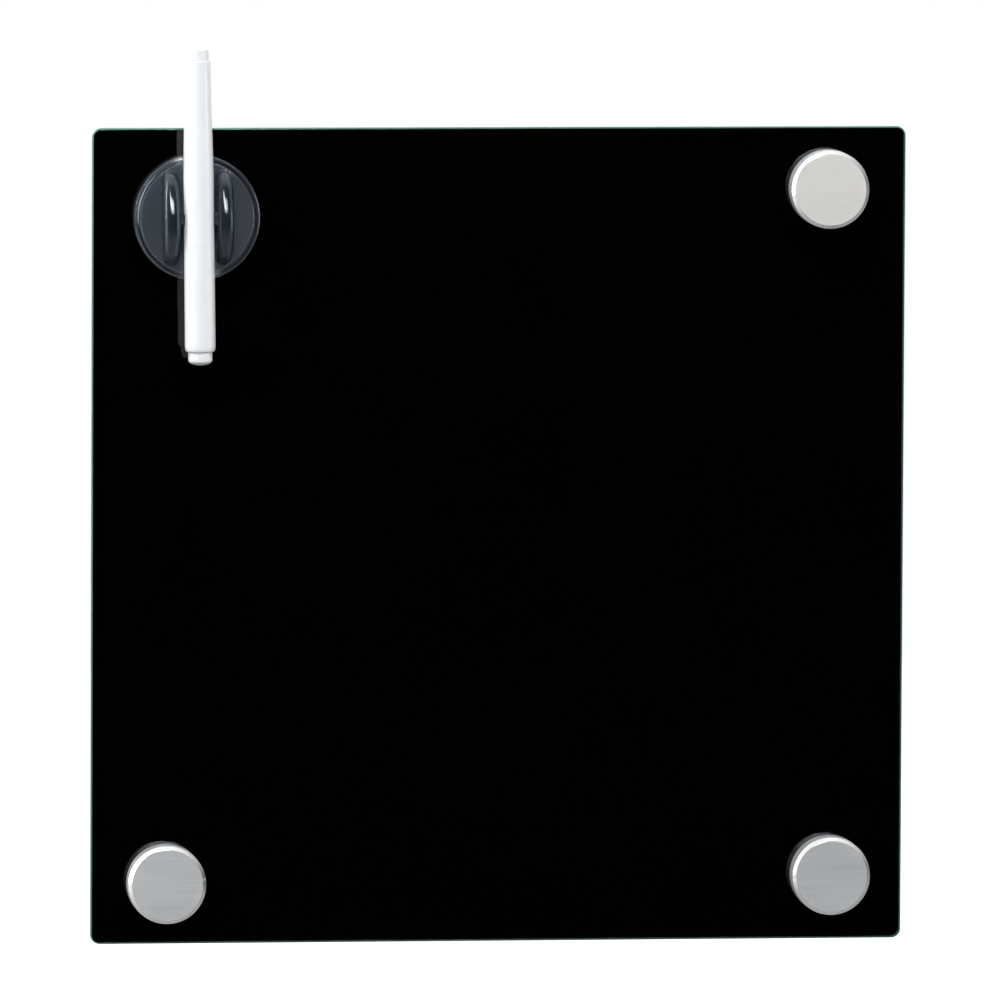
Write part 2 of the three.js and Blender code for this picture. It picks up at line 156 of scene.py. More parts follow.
def fromGlass(piece, node):  # its own z points to the wall, from the node's front
    place = middle(node)
    place.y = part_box(node)[0].y
    return settled(piece, place, (-outwards, 0, 0))


def smoothed(piece, angle=32):  # round where it turns gently, true where it is flat
    pickOnly(piece)
    bpy.ops.object.shade_smooth_by_angle(angle=math.radians(angle))
    return modified(piece, "even shading", 'WEIGHTED_NORMAL', keep_sharp=True, weight=90)


def modified(piece, name, kind, **settings):  # adds a modifier and applies it
    pickOnly(piece)
    modifier = piece.modifiers.new(name, kind)
    for setting, value in settings.items():
        setattr(modifier, setting, value)
    bpy.ops.object.modifier_apply(modifier=modifier.name)
    return piece


def combined(piece, other, operation):  # joins or cuts, and takes the other shape away
    modified(piece, "combine", 'BOOLEAN', object=other, operation=operation, solver='EXACT')
    bpy.data.objects.remove(other)
    return piece


def bevelled(piece, width, segments, test):  # along the edges that pass the test, width in mm
    pickEdges(piece, test)
    bpy.ops.mesh.bevel(offset=width * mm, segments=segments, affect='EDGES')
    inMode('OBJECT')


def rounded(piece, width, segments=2, angle=50):
    return modified(piece, "soft edge", 'BEVEL', width=width * mm, segments=segments,
                    limit_method='ANGLE', angle_limit=math.radians(angle))


# Solids of the few kinds that the pieces start from

def made(name, scale=(1, 1, 1)):  # what was added last gets its name and size
    piece = bpy.context.object
    piece.name = piece.data.name = name
    piece.scale = scale
    return applied(piece)


def boxOf(name, size, place=(0, 0, 0)):
    nothingPicked()
    bpy.ops.mesh.primitive_cube_add(size=1, location=place)
    return made(name, size)


def boxOfNode(name, node):
    low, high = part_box(node)
    return boxOf(name, high - low, middle(node))


def rodOf(name, radius, length, place, turn, sides):
    nothingPicked()
    bpy.ops.mesh.primitive_cylinder_add(vertices=sides, radius=radius * mm, depth=length * mm,
                                        location=place, rotation=turn)
    return made(name)


def turnedSolid(name, rings, sides=96, bored=False):
    # a circle extruded ring by ring; rings are (radius, height) in mm along its own z
    nothingPicked()
    radius, height = rings[0]
    bpy.ops.mesh.primitive_circle_add(vertices=sides, radius=radius * mm, location=(0, 0, height * mm),
                                      fill_type='NOTHING' if bored else 'NGON')
    piece = made(name)
    pickAll()
    for nextRadius, nextHeight in rings[1:]:
        rise = (nextHeight - height) * mm
        bpy.ops.mesh.extrude_region_move(TRANSFORM_OT_translate={"value": (0, 0, rise)})
        grow = nextRadius / radius
        bpy.ops.transform.resize(value=(grow, grow, 1), center_override=(0, 0, 0))
        radius, height = nextRadius, nextHeight
    pickAll()
    bpy.ops.mesh.remove_doubles(threshold=weld)
    bpy.ops.mesh.normals_make_consistent(inside=False)
    inMode('OBJECT')
    return smoothed(piece)


def ellipse(radius, height, across, up, start, end, steps=8):
    # rings round a centre; 0 degrees points away from the axis, 90 up along it
    angles = [math.radians(start + (end - start) * step / steps) for step in range(steps + 1)]
    return [(max(radius + across * math.cos(angle), pinhole), height + up * math.sin(angle))
            for angle in angles]


def arc(radius, height, size, start, end, steps=5):
    return ellipse(radius, height, size, size, start, end, steps)


# Node work that the materials share

def fed(tree, socket, value):  # by a link or by a plain value
    if isinstance(value, bpy.types.NodeSocket):
        tree.links.new(value, socket)
    else:
        socket.default_value = value


def added(tree, kind, values=None, **settings):  # a node, with what feeds each of its sockets
    node = tree.nodes.new("ShaderNode" + kind)
    for setting, value in settings.items():
        setattr(node, setting, value)
    for socket, value in (values or {}).items():
        fed(tree, node.inputs[socket], value)
    return node


def worked(tree, operation, *values):
    return added(tree, "Math", dict(enumerate(values)), operation=operation).outputs[0]


def scaled(tree, value, factor):
    return worked(tree, 'MULTIPLY', value, factor)


def vectorNode(tree, operation, values):
    return added(tree, "VectorMath", dict(enumerate(values)), operation=operation)


def vectorWorked(tree, operation, *values):
    return vectorNode(tree, operation, values).outputs["Vector"]


def measured(tree, operation, *values):  # a length, a distance or how far one vector goes along another
    return vectorNode(tree, operation, values).outputs["Value"]


def ranged(tree, value, low, high, start=0.0, stop=1.0):
    values = {"Value": value, "From Min": start, "From Max": stop, "To Min": low, "To Max": high}
    return added(tree, "MapRange", values).outputs["Result"]


def blended(tree, share, first, second):  # 6, 7 and output 2 are the node's colour sockets
    return added(tree, "Mix", {0: share, 6: first, 7: second}, data_type='RGBA').outputs[2]


def stretched(tree, vector, scale):
    return added(tree, "Mapping", {"Vector": vector, "Scale": scale}).outputs["Vector"]


def noisy(tree, vector, scale, detail=2.0, roughness=0.5):
    values = {"Vector": vector, "Scale": scale, "Detail": detail, "Roughness": roughness}
    return added(tree, "TexNoise", values).outputs["Fac"]


def newGroup(name, values, outputs):  # a vector and numbers go in, and numbers come out
    group = bpy.data.node_groups.new(name, "ShaderNodeTree")
    group.interface.new_socket("Vector", in_out='INPUT', socket_type="NodeSocketVector")
    for socket, value in values.items():
        number = group.interface.new_socket(socket, in_out='INPUT', socket_type="NodeSocketFloat")
        number.default_value = value
    for socket in outputs:
        group.interface.new_socket(socket, in_out='OUTPUT', socket_type="NodeSocketFloat")
    start = group.nodes.new("NodeGroupInput").outputs
    end = group.nodes.new("NodeGroupOutput").inputs
    return group, start, end


def brushedLinesGroup():  # fine lines along the way that its vector is stretched
    group, start, end = newGroup("brushedLines", {"Contrast": 1.0}, ["Lines"])
    fine = noisy(group, start["Vector"], 1.0, 3.0, 0.65)
    coarse = noisy(group, start["Vector"], 0.23, 2.0, 0.5)
    both = worked(group, 'ADD', scaled(group, fine, 0.6), scaled(group, coarse, 0.4))
    away = scaled(group, worked(group, 'SUBTRACT', both, 0.5), start["Contrast"])
    group.links.new(worked(group, 'ADD', away, 0.5), end["Lines"])
    return group


def handlingGroup():  # faint smudges and a few finer spots, from being handled
    group, start, end = newGroup("handling", {"Scale": 40.0, "Spots": 0.3}, ["Mask"])
    cloud = noisy(group, start["Vector"], start["Scale"], 4.0, 0.55)
    soft = ranged(group, cloud, 0.0, 1.0, 0.42, 0.68)
    spot = noisy(group, start["Vector"], scaled(group, start["Scale"], 14.0), 2.0, 0.6)
    spots = scaled(group, ranged(group, spot, 0.0, 1.0, 0.6, 0.72), start["Spots"])
    group.links.new(worked(group, 'MAXIMUM', soft, spots), end["Mask"])
    return group


def grainGroup():  # the small relief of a moulded, pressed or sintered skin
    group, start, end = newGroup("grain", {"Scale": 900.0, "Pits": 0.3}, ["Height", "Shade"])
    fine = noisy(group, start["Vector"], start["Scale"], 3.0, 0.6)
    values = {"Vector": start["Vector"], "Scale": scaled(group, start["Scale"], 0.6)}
    cells = added(group, "TexVoronoi", values, feature='F1').outputs["Distance"]
    pits = scaled(group, ranged(group, cells, 1.0, 0.0, 0.0, 0.35), start["Pits"])
    group.links.new(worked(group, 'SUBTRACT', fine, pits), end["Height"])
    broad = noisy(group, start["Vector"], scaled(group, start["Scale"], 0.05), 3.0, 0.5)
    group.links.new(broad, end["Shade"])
    return group


def spangleGroup():  # the crystal pattern of hot-dipped zinc
    group, start, end = newGroup("spangle", {"Scale": 90.0, "Warp": 0.004}, ["Shade", "Border"])
    wander = added(group, "TexNoise", {"Vector": start["Vector"], "Scale": 160.0, "Detail": 2.0})
    centred = vectorWorked(group, 'SUBTRACT', wander.outputs["Color"], (0.5, 0.5, 0.5))
    push = added(group, "VectorMath", {0: centred, "Scale": start["Warp"]}, operation='SCALE').outputs[0]
    moved = vectorWorked(group, 'ADD', start["Vector"], push)
    flakes = added(group, "TexVoronoi", {"Vector": moved, "Scale": start["Scale"]})
    small = added(group, "TexVoronoi", {"Vector": moved, "Scale": scaled(group, start["Scale"], 2.7)})
    shades = [added(group, "SeparateColor", {"Color": node.outputs["Color"]}).outputs[0]
              for node in (flakes, small)]
    mixed = worked(group, 'ADD', scaled(group, shades[0], 0.65), scaled(group, shades[1], 0.35))
    group.links.new(mixed, end["Shade"])
    rim = added(group, "TexVoronoi", {"Vector": moved, "Scale": start["Scale"]},
                feature='DISTANCE_TO_EDGE').outputs["Distance"]
    group.links.new(ranged(group, rim, 1.0, 0.0, 0.0, 0.06), end["Border"])
    return group


brushedLines = brushedLinesGroup()
handling = handlingGroup()
grain = grainGroup()
spangle = spangleGroup()


def placed(tree, group, values):  # one of the shared groups, with its own values
    return added(tree, "Group", values, node_tree=group).outputs


def handled(tree, place, scale, spots):
    return placed(tree, handling, {"Vector": place, "Scale": scale, "Spots": spots})["Mask"]


def lined(tree, place, stretch, contrast):
    run = stretched(tree, place, stretch)
    return placed(tree, brushedLines, {"Vector": run, "Contrast": contrast})["Lines"]


def newMaterial(name, plain):
    material = bpy.data.materials.new(name)
    material.use_nodes = True
    tree = material.node_tree
    shader = tree.nodes["Principled BSDF"]
    for socket, value in plain.items():
        shader.inputs[socket].default_value = value
    place = added(tree, "TexCoord").outputs["Object"]
    return material, tree, shader, place


def shaded(tree, shader, roughness, colour=None):
    fed(tree, shader.inputs["Roughness"], roughness)
    if colour is not None:
        fed(tree, shader.inputs["Base Color"], colour)


def bumped(tree, shader, height, strength, depth):
    values = {"Height": height, "Strength": strength, "Distance": depth * mm}
    fed(tree, shader.inputs["Normal"], added(tree, "Bump", values).outputs["Normal"])


def grainyMaterial(name, plain, scale, pits, shades, roughness, relief, shadedBy="Shade", stretch=None):
    # a skin of one stuff: its two shades follow the broad patches or the relief, its roughness the relief
    material, tree, shader, place = newMaterial(name, plain)
    run = stretched(tree, place, stretch) if stretch else place
    skin = placed(tree, grain, {"Vector": run, "Scale": scale, "Pits": pits})
    colour = blended(tree, skin[shadedBy], *shades)
    shaded(tree, shader, ranged(tree, skin["Height"], *roughness), colour)
    bumped(tree, shader, skin["Height"], *relief)
    return material


# Materials of the board

def polishedGlass():
    material, tree, shader, place = newMaterial("polishedGlass", {
        "Base Color": (0.91, 0.975, 0.945, 1), "IOR": 1.52, "Transmission Weight": 1.0})
    wiped = handled(tree, place, 9.0, 0.2)
    shaded(tree, shader, ranged(tree, wiped, 0.0, 0.012))
    return material


def galvanisedSteel():
    material, tree, shader, place = newMaterial("galvanisedSteel", {"Metallic": 0.9})
    flakes = placed(tree, spangle, {"Vector": place, "Scale": 75.0, "Warp": 0.006})
    stain = handled(tree, place, 11.0, 0.5)
    metal = blended(tree, flakes["Shade"], (0.40, 0.42, 0.44, 1), (0.60, 0.61, 0.62, 1))
    dulled = blended(tree, scaled(tree, stain, 0.35), metal, (0.62, 0.62, 0.60, 1))
    rough = worked(tree, 'ADD', ranged(tree, flakes["Shade"], 0.34, 0.5), scaled(tree, stain, 0.1))
    shaded(tree, shader, rough, dulled)
    relief = worked(tree, 'ADD', flakes["Shade"], scaled(tree, flakes["Border"], 0.4))
    bumped(tree, shader, relief, 0.12, 0.02)
    return material


def zincPlate():
    material, tree, shader, place = newMaterial("zincPlate", {"Metallic": 1.0})
    skin = placed(tree, grain, {"Vector": place, "Scale": 1100.0, "Pits": 0.25})
    bloom = handled(tree, place, 60.0, 0.6)
    bright = blended(tree, skin["Shade"], (0.60, 0.63, 0.68, 1), (0.74, 0.74, 0.72, 1))
    colour = blended(tree, scaled(tree, bloom, 0.3), bright, (0.55, 0.54, 0.50, 1))
    shaded(tree, shader, ranged(tree, bloom, 0.24, 0.38), colour)
    bumped(tree, shader, skin["Height"], 0.12, 0.02)
    return material


def mouldedRubber():
    material, tree, shader, place = newMaterial("mouldedRubber", {"Specular IOR Level": 0.35})
    skin = placed(tree, grain, {"Vector": place, "Scale": 1300.0, "Pits": 0.4})
    dust = handled(tree, place, 130.0, 0.6)
    colour = blended(tree, scaled(tree, dust, 0.4), (0.018, 0.018, 0.019, 1), (0.07, 0.068, 0.064, 1))
    shaded(tree, shader, ranged(tree, skin["Height"], 0.62, 0.85), colour)
    bumped(tree, shader, skin["Height"], 0.4, 0.05)
    return material


# Materials of the magnets

def brushedSteel(name, stretch, roughness, contrast, relief, shades):
    material, tree, shader, place = newMaterial(name, {"Metallic": 1.0})
    lines = lined(tree, place, stretch, contrast)
    touched = handled(tree, place, 55.0, 0.35)
    colour = blended(tree, lines, *shades)
    rough = worked(tree, 'ADD', ranged(tree, lines, *roughness), scaled(tree, touched, 0.05))
    shaded(tree, shader, rough, colour)
    bumped(tree, shader, lines, relief, 0.02)
    return material


def nickelPlate():
    material, tree, shader, place = newMaterial("nickelPlate", {"Metallic": 1.0})
    touched = handled(tree, place, 90.0, 0.7)
    colour = blended(tree, touched, (0.68, 0.65, 0.60, 1), (0.60, 0.57, 0.52, 1))
    shaded(tree, shader, ranged(tree, touched, 0.12, 0.28), colour)
    bumped(tree, shader, touched, 0.08, 0.02)
    return material


# Materials of the holder and the marker

def clearMoulding(name, tint):
    material, tree, shader, place = newMaterial(name, {
        "Base Color": tint, "IOR": 1.49, "Transmission Weight": 0.962})  # the rest is a faint haze
    flow = noisy(tree, stretched(tree, place, (1, 1, 0.5)), 70.0, 2.0, 0.4)
    touched = handled(tree, place, 70.0, 0.25)
    shaded(tree, shader, ranged(tree, touched, 0.02, 0.07))
    bumped(tree, shader, flow, 0.03, 0.3)
    return material


def glossyWhite():
    material, tree, shader, place = newMaterial("glossyWhite", {
        "IOR": 1.49, "Coat Weight": 0.25, "Coat Roughness": 0.06})
    lines = lined(tree, place, (900, 900, 22), 0.8)
    touched = handled(tree, place, 60.0, 0.3)
    clean = blended(tree, lines, (0.87, 0.88, 0.895, 1), (0.91, 0.915, 0.925, 1))
    colour = blended(tree, scaled(tree, touched, 0.25), clean, (0.82, 0.82, 0.82, 1))
    shaded(tree, shader, ranged(tree, touched, 0.16, 0.27), colour)
    bumped(tree, shader, lines, 0.03, 0.02)
    return material


def bondedFibre():
    material, tree, shader, place = newMaterial("bondedFibre", {"Specular IOR Level": 0.2})
    lines = lined(tree, place, (2500, 2500, 120), 2.2)
    colour = blended(tree, lines, (0.50, 0.49, 0.46, 1), (0.76, 0.75, 0.71, 1))
    shaded(tree, shader, ranged(tree, lines, 1.0, 0.85), colour)
    bumped(tree, shader, lines, 0.7, 0.1)
    return material


groundGlass = {"IOR": 1.52, "Transmission Weight": 0.35, "Specular IOR Level": 0.5}
looks = {material.name: material for material in (
    polishedGlass(),
    grainyMaterial(
        "groundEdge", groundGlass, 2600.0, 0.5, ((0.26, 0.62, 0.50, 1), (0.42, 0.78, 0.66, 1)),
        roughness=(0.28, 0.5), relief=(0.25, 0.03)),
    # the arris is the same ground glass as the edge, in darker shades: painted shade, to keep the
    # front-facing arrises dark
    grainyMaterial(
        "paintedShadeArris", groundGlass, 2600.0, 0.5, ((0.025, 0.13, 0.09, 1), (0.05, 0.20, 0.145, 1)),
        roughness=(0.28, 0.5), relief=(0.25, 0.03)),
    grainyMaterial(
        "filmSeenThroughGlass", {"Specular IOR Level": 0.0}, 1500.0, 0.4,
        ((0.00084, 0.00084, 0.0009, 1), (0.00156, 0.00156, 0.00162, 1)),
        roughness=(0.7, 0.85), relief=(0.15, 0.02)),
    grainyMaterial(
        "filmBack", {"Specular IOR Level": 0.45}, 1500.0, 0.4,
        ((0.0084, 0.0084, 0.009, 1), (0.0156, 0.0156, 0.0162, 1)),
        roughness=(0.42, 0.57), relief=(0.15, 0.02)),
    grainyMaterial(
        "foamTape", {"Specular IOR Level": 0.3}, 1400.0, 0.9, ((0.60, 0.58, 0.52, 1), (0.80, 0.79, 0.74, 1)),
        roughness=(0.95, 0.8), relief=(0.5, 0.12), shadedBy="Height"),
    galvanisedSteel(),
    zincPlate(),
    grainyMaterial(
        "rivetMetal", {"Metallic": 1.0}, 1900.0, 0.5, ((0.56, 0.56, 0.57, 1), (0.74, 0.74, 0.75, 1)),
        roughness=(0.3, 0.5), relief=(0.3, 0.03)),
    mouldedRubber(),
    brushedSteel(
        "brushedFace", (35, 35, 3600), roughness=(0.46, 0.60), contrast=2.4, relief=0.34,
        shades=((0.625, 0.63, 0.64, 1), (0.77, 0.775, 0.785, 1))),
    # a brighter, warmer copy of brushedFace for the top right magnet: painted light, for that face catching
    # more of the lamps
    brushedSteel(
        "paintedLightBrushedFace", (30, 30, 3300), roughness=(0.48, 0.62), contrast=2.0, relief=0.28,
        shades=((0.755, 0.73, 0.70, 1), (0.845, 0.82, 0.79, 1))),
    brushedSteel(
        "polishedBevel", (40, 4200, 40), roughness=(0.07, 0.14), contrast=1.0, relief=0.03,
        shades=((0.80, 0.79, 0.78, 1), (0.88, 0.87, 0.86, 1))),
    brushedSteel(
        "turnedWall", (30, 2600, 30), roughness=(0.52, 0.68), contrast=1.4, relief=0.10,
        shades=((0.66, 0.68, 0.71, 1), (0.82, 0.84, 0.87, 1))),
    nickelPlate(),
    grainyMaterial(
        "blackMoulding", {"Specular IOR Level": 0.45}, 1500.0, 0.3,
        ((0.014, 0.014, 0.016, 1), (0.032, 0.032, 0.034, 1)), roughness=(0.42, 0.62), relief=(0.25, 0.03)),
    grainyMaterial(
        "softPad", {"Specular IOR Level": 0.25, "Sheen Weight": 0.2}, 1700.0, 0.9,
        ((0.02, 0.02, 0.022, 1), (0.06, 0.06, 0.064, 1)),
        roughness=(0.95, 0.8), relief=(0.5, 0.08), shadedBy="Height"),
    clearMoulding("clearMoulding", (0.62, 0.68, 0.76, 1)),
    clearMoulding("paintedShadeJawMoulding", (0.26, 0.33, 0.42, 1)),  # a darker copy of the same plastic for the jaws, where the walls stand on edge: painted shade
    grainyMaterial(
        "sinteredFerrite", {"Specular IOR Level": 0.5}, 1200.0, 0.6,
        ((0.057, 0.059, 0.063, 1), (0.085, 0.088, 0.093, 1)), roughness=(0.5, 0.75), relief=(0.35, 0.05)),
    glossyWhite(),
    bondedFibre(),
    grainyMaterial(
        "inkedFelt", {"Specular IOR Level": 0.3, "Sheen Weight": 0.15}, 3200.0, 0.8,
        ((0.008, 0.008, 0.010, 1), (0.035, 0.035, 0.042, 1)),
        roughness=(0.85, 0.6), relief=(0.6, 0.06), shadedBy="Height", stretch=(1, 1, 0.3)),
)}
print("materials made:", len(looks))


def finished(piece, body, slot, looksOf, *nodes):  # its materials, the body it rides on, what it stands for
    piece.data.materials.clear()
    for look in looksOf:
        piece.data.materials.append(looks[look])
    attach(piece, body)
    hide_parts(*nodes)
    return piece


# Glass pane and black film

pane = {
    "cornerRadius": 4.0, "cornerSteps": 10, "arris": 0.6, "arrisSoftness": 0.12, "filmSunk": 0.03,
    "edgeFacing": 0.3, "faceFacing": 0.85,  # how much of a face's normal points through the pane
}


def frontToBack(start, end):
    return same(start.x, end.x) and same(start.z, end.z)


def glassPane():
    piece = boxOfNode("glassPane", "glass_pane")
    bevelled(piece, pane["cornerRadius"], pane["cornerSteps"], frontToBack)
    bevelled(piece, pane["arris"], 1, lambda start, end: same(start.y, end.y))
    rounded(piece, pane["arrisSoftness"], angle=30)
    finished(piece, "board", "float_glass", ["polishedGlass", "groundEdge", "paintedShadeArris"], "glass_pane")
    # the arris faces take the darker copy of the ground glass, which carries painted shade
    for face in piece.data.polygons:
        turn = abs(face.normal.y)
        face.material_index = 1 if turn < pane["edgeFacing"] else 2 if turn < pane["faceFacing"] else 0
    return smoothed(piece, angle=20)


def backingFilm():
    low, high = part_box("backing_film")
    low.y = glassHigh.y - pane["filmSunk"] * mm  # pressed against the glass, with no air between
    piece = boxOf("backingFilm", high - low, (low + high) / 2)
    bevelled(piece, pane["cornerRadius"] - pane["arris"], pane["cornerSteps"], frontToBack)
    finished(piece, "board", "black_film", ["filmSeenThroughGlass", "filmBack"], "backing_film")
    for face in piece.data.polygons:
        face.material_index = 0 if face.normal.y < -squareOn else 1
    return smoothed(piece, angle=20)


glassPane()
backingFilm()
print("glass and film made")


# Foam tape, steel tray, hangers, rivets and rubber feet

tape = {"strips": 5, "softEdge": 0.15}
tray = {"sheet": 0.8, "bendRadius": 1.0, "bendSteps": 8, "cornerRelief": 5.0, "softEdge": 0.12}
hanger = {"sheet": 1.2, "splay": 2.0, "crown": 26.0, "bend": 1.6, "bendSteps": 5, "softEdge": 0.15}
keyhole = {
    "radius": 4.6, "slotWidth": 4.8, "rise": 8.0, "drop": 5.0, "cutDepth": 30.0,
    "sides": 64, "slotSides": 48,
}
rivet = {
    "shank": 1.6, "head": 3.0, "headEdge": 0.12, "dome": 1.1, "domeSteps": 15, "flatHead": 0.48, "sides": 40,
}
bumper = {"edge": 1.5, "edgeSteps": 8, "rim": 1.2, "dimple": 0.35, "dimpleSlope": 0.5, "sides": 72}


def tapeStrip():
    piece = boxOfNode("foamTape", "tape_strip_1")
    pickFaces(piece, lambda face: abs(face.normal.y) < squareOn)
    bpy.ops.mesh.subdivide(number_cuts=1)
    inMode('OBJECT')
    return smoothed(rounded(piece, tape["softEdge"]))


def steelTray():
    piece = boxOfNode("steelTray", "steel_back_tray")
    low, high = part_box("steel_back_tray")
    centre = middle("steel_back_tray")
    pickFaces(piece, lambda face: face.normal.y > squareOn)
    bpy.ops.mesh.delete(type='FACE')  # open towards the wall
    relief = tray["cornerRelief"] * mm
    for axis in (0, 2):
        for wall, way in ((low, 1), (high, -1)):
            normal = Vector((0, 0, 0))
            normal[axis] = 1
            cut = centre.copy()
            cut[axis] = wall[axis] + way * relief
            pickAll()
            bpy.ops.mesh.bisect(plane_co=cut, plane_no=normal)
    pickFaces(piece, lambda face: all(
        abs(face.center[axis] - centre[axis]) > high[axis] - centre[axis] - relief for axis in (0, 2)))
    bpy.ops.mesh.delete(type='FACE')  # square notches at the corners, where the sides were folded

    def underWall(start, end):  # where a side stands on the floor
        return same(start.y, low.y) and same(end.y, low.y) and any(
            same(start[axis], end[axis]) and any(same(start[axis], wall[axis]) for wall in (low, high))
            for axis in (0, 2))

    bevelled(piece, tray["bendRadius"] + tray["sheet"], tray["bendSteps"], underWall)
    modified(piece, "sheet", 'SOLIDIFY', thickness=tray["sheet"] * mm, offset=-1, use_even_offset=True)
    rounded(piece, tray["softEdge"])
    return smoothed(finished(piece, "board", "galvanised_steel", ["galvanisedSteel"], "steel_back_tray"))


def keyholeCutter(centre):
    hole = centre - Vector((0, 0, keyhole["drop"] * mm))
    rise = Vector((0, 0, keyhole["rise"] * mm))
    width, depth = keyhole["slotWidth"], keyhole["cutDepth"]
    turn = (outwards, 0, 0)
    cutter = rodOf("keyhole", keyhole["radius"], depth, hole, turn, keyhole["sides"])
    slot = boxOf("slot", (width * mm, depth * mm, rise.z), hole + rise / 2)
    end = rodOf("slotEnd", width / 2, depth, hole + rise, turn, keyhole["slotSides"])
    combined(cutter, slot, 'UNION')
    return combined(cutter, end, 'UNION')


def hangerBracket():
    low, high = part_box("hanger_left")
    centre = middle("hanger_left")
    sheet, crown, splay = (hanger[size] * mm for size in ("sheet", "crown", "splay"))
    nothingPicked()
    bpy.ops.mesh.primitive_plane_add(size=1, location=(centre.x, high.y, centre.z),
                                     rotation=(outwards, 0, 0))
    piece = made("hanger", (crown, high.z - low.z, 1))
    drop = low.y + sheet - high.y
    steps = ((splay, drop), (high.x - centre.x - crown / 2 - splay, 0))
    for way in (-1, 1):
        edge = centre.x + way * crown / 2
        pickEdges(piece, lambda start, end: same(start.x, edge) and same(end.x, edge))
        for across, back in steps:
            bpy.ops.mesh.extrude_region_move(TRANSFORM_OT_translate={"value": (way * across, back, 0)})
    knees = [centre.x + way * (crown / 2 + step) for way in (-1, 1) for step in (0, splay)]
    bevelled(piece, hanger["bend"], hanger["bendSteps"],
             lambda start, end: same(start.x, end.x) and any(same(start.x, knee) for knee in knees))
    pickAll()
    bpy.ops.mesh.normals_make_consistent(inside=False)
    inMode('OBJECT')
    facesWall = max(piece.data.polygons, key=lambda face: face.center.y).normal.y > 0
    modified(piece, "sheet", 'SOLIDIFY', thickness=sheet, offset=-1 if facesWall else 1,
             use_even_offset=True)
    combined(piece, keyholeCutter(centre), 'DIFFERENCE')
    return smoothed(rounded(piece, hanger["softEdge"]))


def hangerRivet():  # from the flat head inside the tray towards the dome
    head, shank, dome = rivet["head"], rivet["shank"], rivet["dome"]
    edge, flat = rivet["headEdge"], rivet["flatHead"]
    base = roundSize("rivet_left_a")[1] - dome
    rings = [(head - edge, 0), (head, edge), (head, flat), (shank, flat), (shank, base)]
    rings += ellipse(0, base, head, dome, 0, 90, rivet["domeSteps"])
    return fromGlass(turnedSolid("rivet", rings, rivet["sides"]), "rivet_left_a")


def rubberFoot():
    radius, height = roundSize("bumper_left")
    edge = bumper["edge"]
    rings = [(radius, 0)] + arc(radius - edge, height - edge, edge, 0, 90, bumper["edgeSteps"])
    inner = radius - edge - bumper["rim"]
    rings += [(inner, height), (inner - bumper["dimpleSlope"], height - bumper["dimple"])]
    return fromGlass(turnedSolid("foot", rings, bumper["sides"]), "bumper_left")


def onBoard(piece, slot, look, names):  # the piece and its copies
    for node, each in copiesOf(piece, names).items():
        finished(each, "board", slot, [look], node)


steelTray()
sides = ("left", "right")
onBoard(tapeStrip(), "foam_tape", "foamTape", {
    f"tape_strip_{number}": f"foamTape{number}" for number in range(1, tape["strips"] + 1)})
onBoard(hangerBracket(), "zinc_plated_steel", "zincPlate", {
    f"hanger_{side}": f"{side}Hanger" for side in sides})
onBoard(hangerRivet(), "rivet_metal", "rivetMetal", {
    f"rivet_{side}_{end}": f"{side}Rivet{end.upper()}" for side in sides for end in ("a", "b")})
onBoard(rubberFoot(), "black_rubber", "mouldedRubber", {
    f"bumper_{side}": f"{side}Foot" for side in sides})
print("tape, tray, hangers, rivets and feet made")


# Round magnets

magnet = {
    "bevel": 1.5, "wall": 1.3, "face": 1.8, "innerRound": 1.0, "softEdge": 0.14, "sides": 128,
    "pocketFit": 0.15, "ceilingFit": 0.05, "mouthEdge": 0.2, "coreEdge": 0.3,
    "discEdge": 0.3, "padEdge": 0.12,
    "faceFacing": 0.97, "bevelFacing": 0.2,  # how much of a face's normal points out of the board
    # the top right face takes the brighter copy of the brushed steel: painted light
    "faceLooks": {"top_right": "paintedLightBrushedFace"},
}


def magnetShell(node):
    radius, height = roundSize(node)
    inner = radius - magnet["wall"]
    under = height - magnet["face"]
    bevel, soft, hollow = magnet["bevel"], magnet["softEdge"], magnet["innerRound"]
    rings = arc(inner - hollow, under - hollow, hollow, 90, 0)
    rings += [(inner, soft)] + arc(inner + soft, soft, soft, 180, 270, 3)[1:]
    rings += arc(radius - soft, soft, soft, 270, 360, 3)
    tight = soft * math.tan(math.radians(45 / 2))  # the bevel stands at 45 degrees
    rings += arc(radius - soft, height - bevel - tight, soft, 0, 45, 3)
    rings += arc(radius - bevel - tight, height - soft, soft, 45, 90, 3)
    return fromWall(turnedSolid("magnetShell", rings, magnet["sides"]), node)


def shellFinish(piece, corner, node):
    look = magnet["faceLooks"].get(corner, "brushedFace")
    finished(piece, f"magnet_{corner}", "satin_steel", [look, "polishedBevel", "turnedWall"], node)
    for face in piece.data.polygons:
        out = -face.normal.y
        face.material_index = 0 if out > magnet["faceFacing"] else 1 if out > magnet["bevelFacing"] else 2


def magnetCore(node, discNode):
    radius, height = roundSize(node)
    pocket = roundSize(discNode)[0] + magnet["pocketFit"]
    ceiling = (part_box(node)[1].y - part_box(discNode)[0].y) / mm + magnet["ceilingFit"]
    relief = magnet["innerRound"] + magnet["pocketFit"]
    mouth, edge = magnet["mouthEdge"], magnet["coreEdge"]
    rings = [(pocket, ceiling), (pocket, mouth), (pocket + mouth, 0), (radius - edge, 0), (radius, edge)]
    rings += arc(radius - relief, height - relief, relief, 0, 90)
    return fromWall(turnedSolid("magnetCore", rings), node)


def flatDisc(name, node, soft, sides=96):
    radius, height = roundSize(node)
    rings = arc(radius - soft, soft, soft, 270, 360, 3) + arc(radius - soft, height - soft, soft, 0, 90, 3)
    return fromWall(turnedSolid(name, rings, sides), node)


corners = ("top_right", "bottom_left", "bottom_right")


def atCorners(piece, part):  # the piece and its copies, by corner
    names = {f"magnet_{part}_{corner}": f"magnet{part.title()}_{corner}" for corner in corners}
    return zip(corners, names, copiesOf(piece, names).values())


def inMagnets(piece, part, slot, look):  # the piece and its copies, one in each magnet
    for corner, node, each in atCorners(piece, part):
        finished(each, f"magnet_{corner}", slot, [look], node)


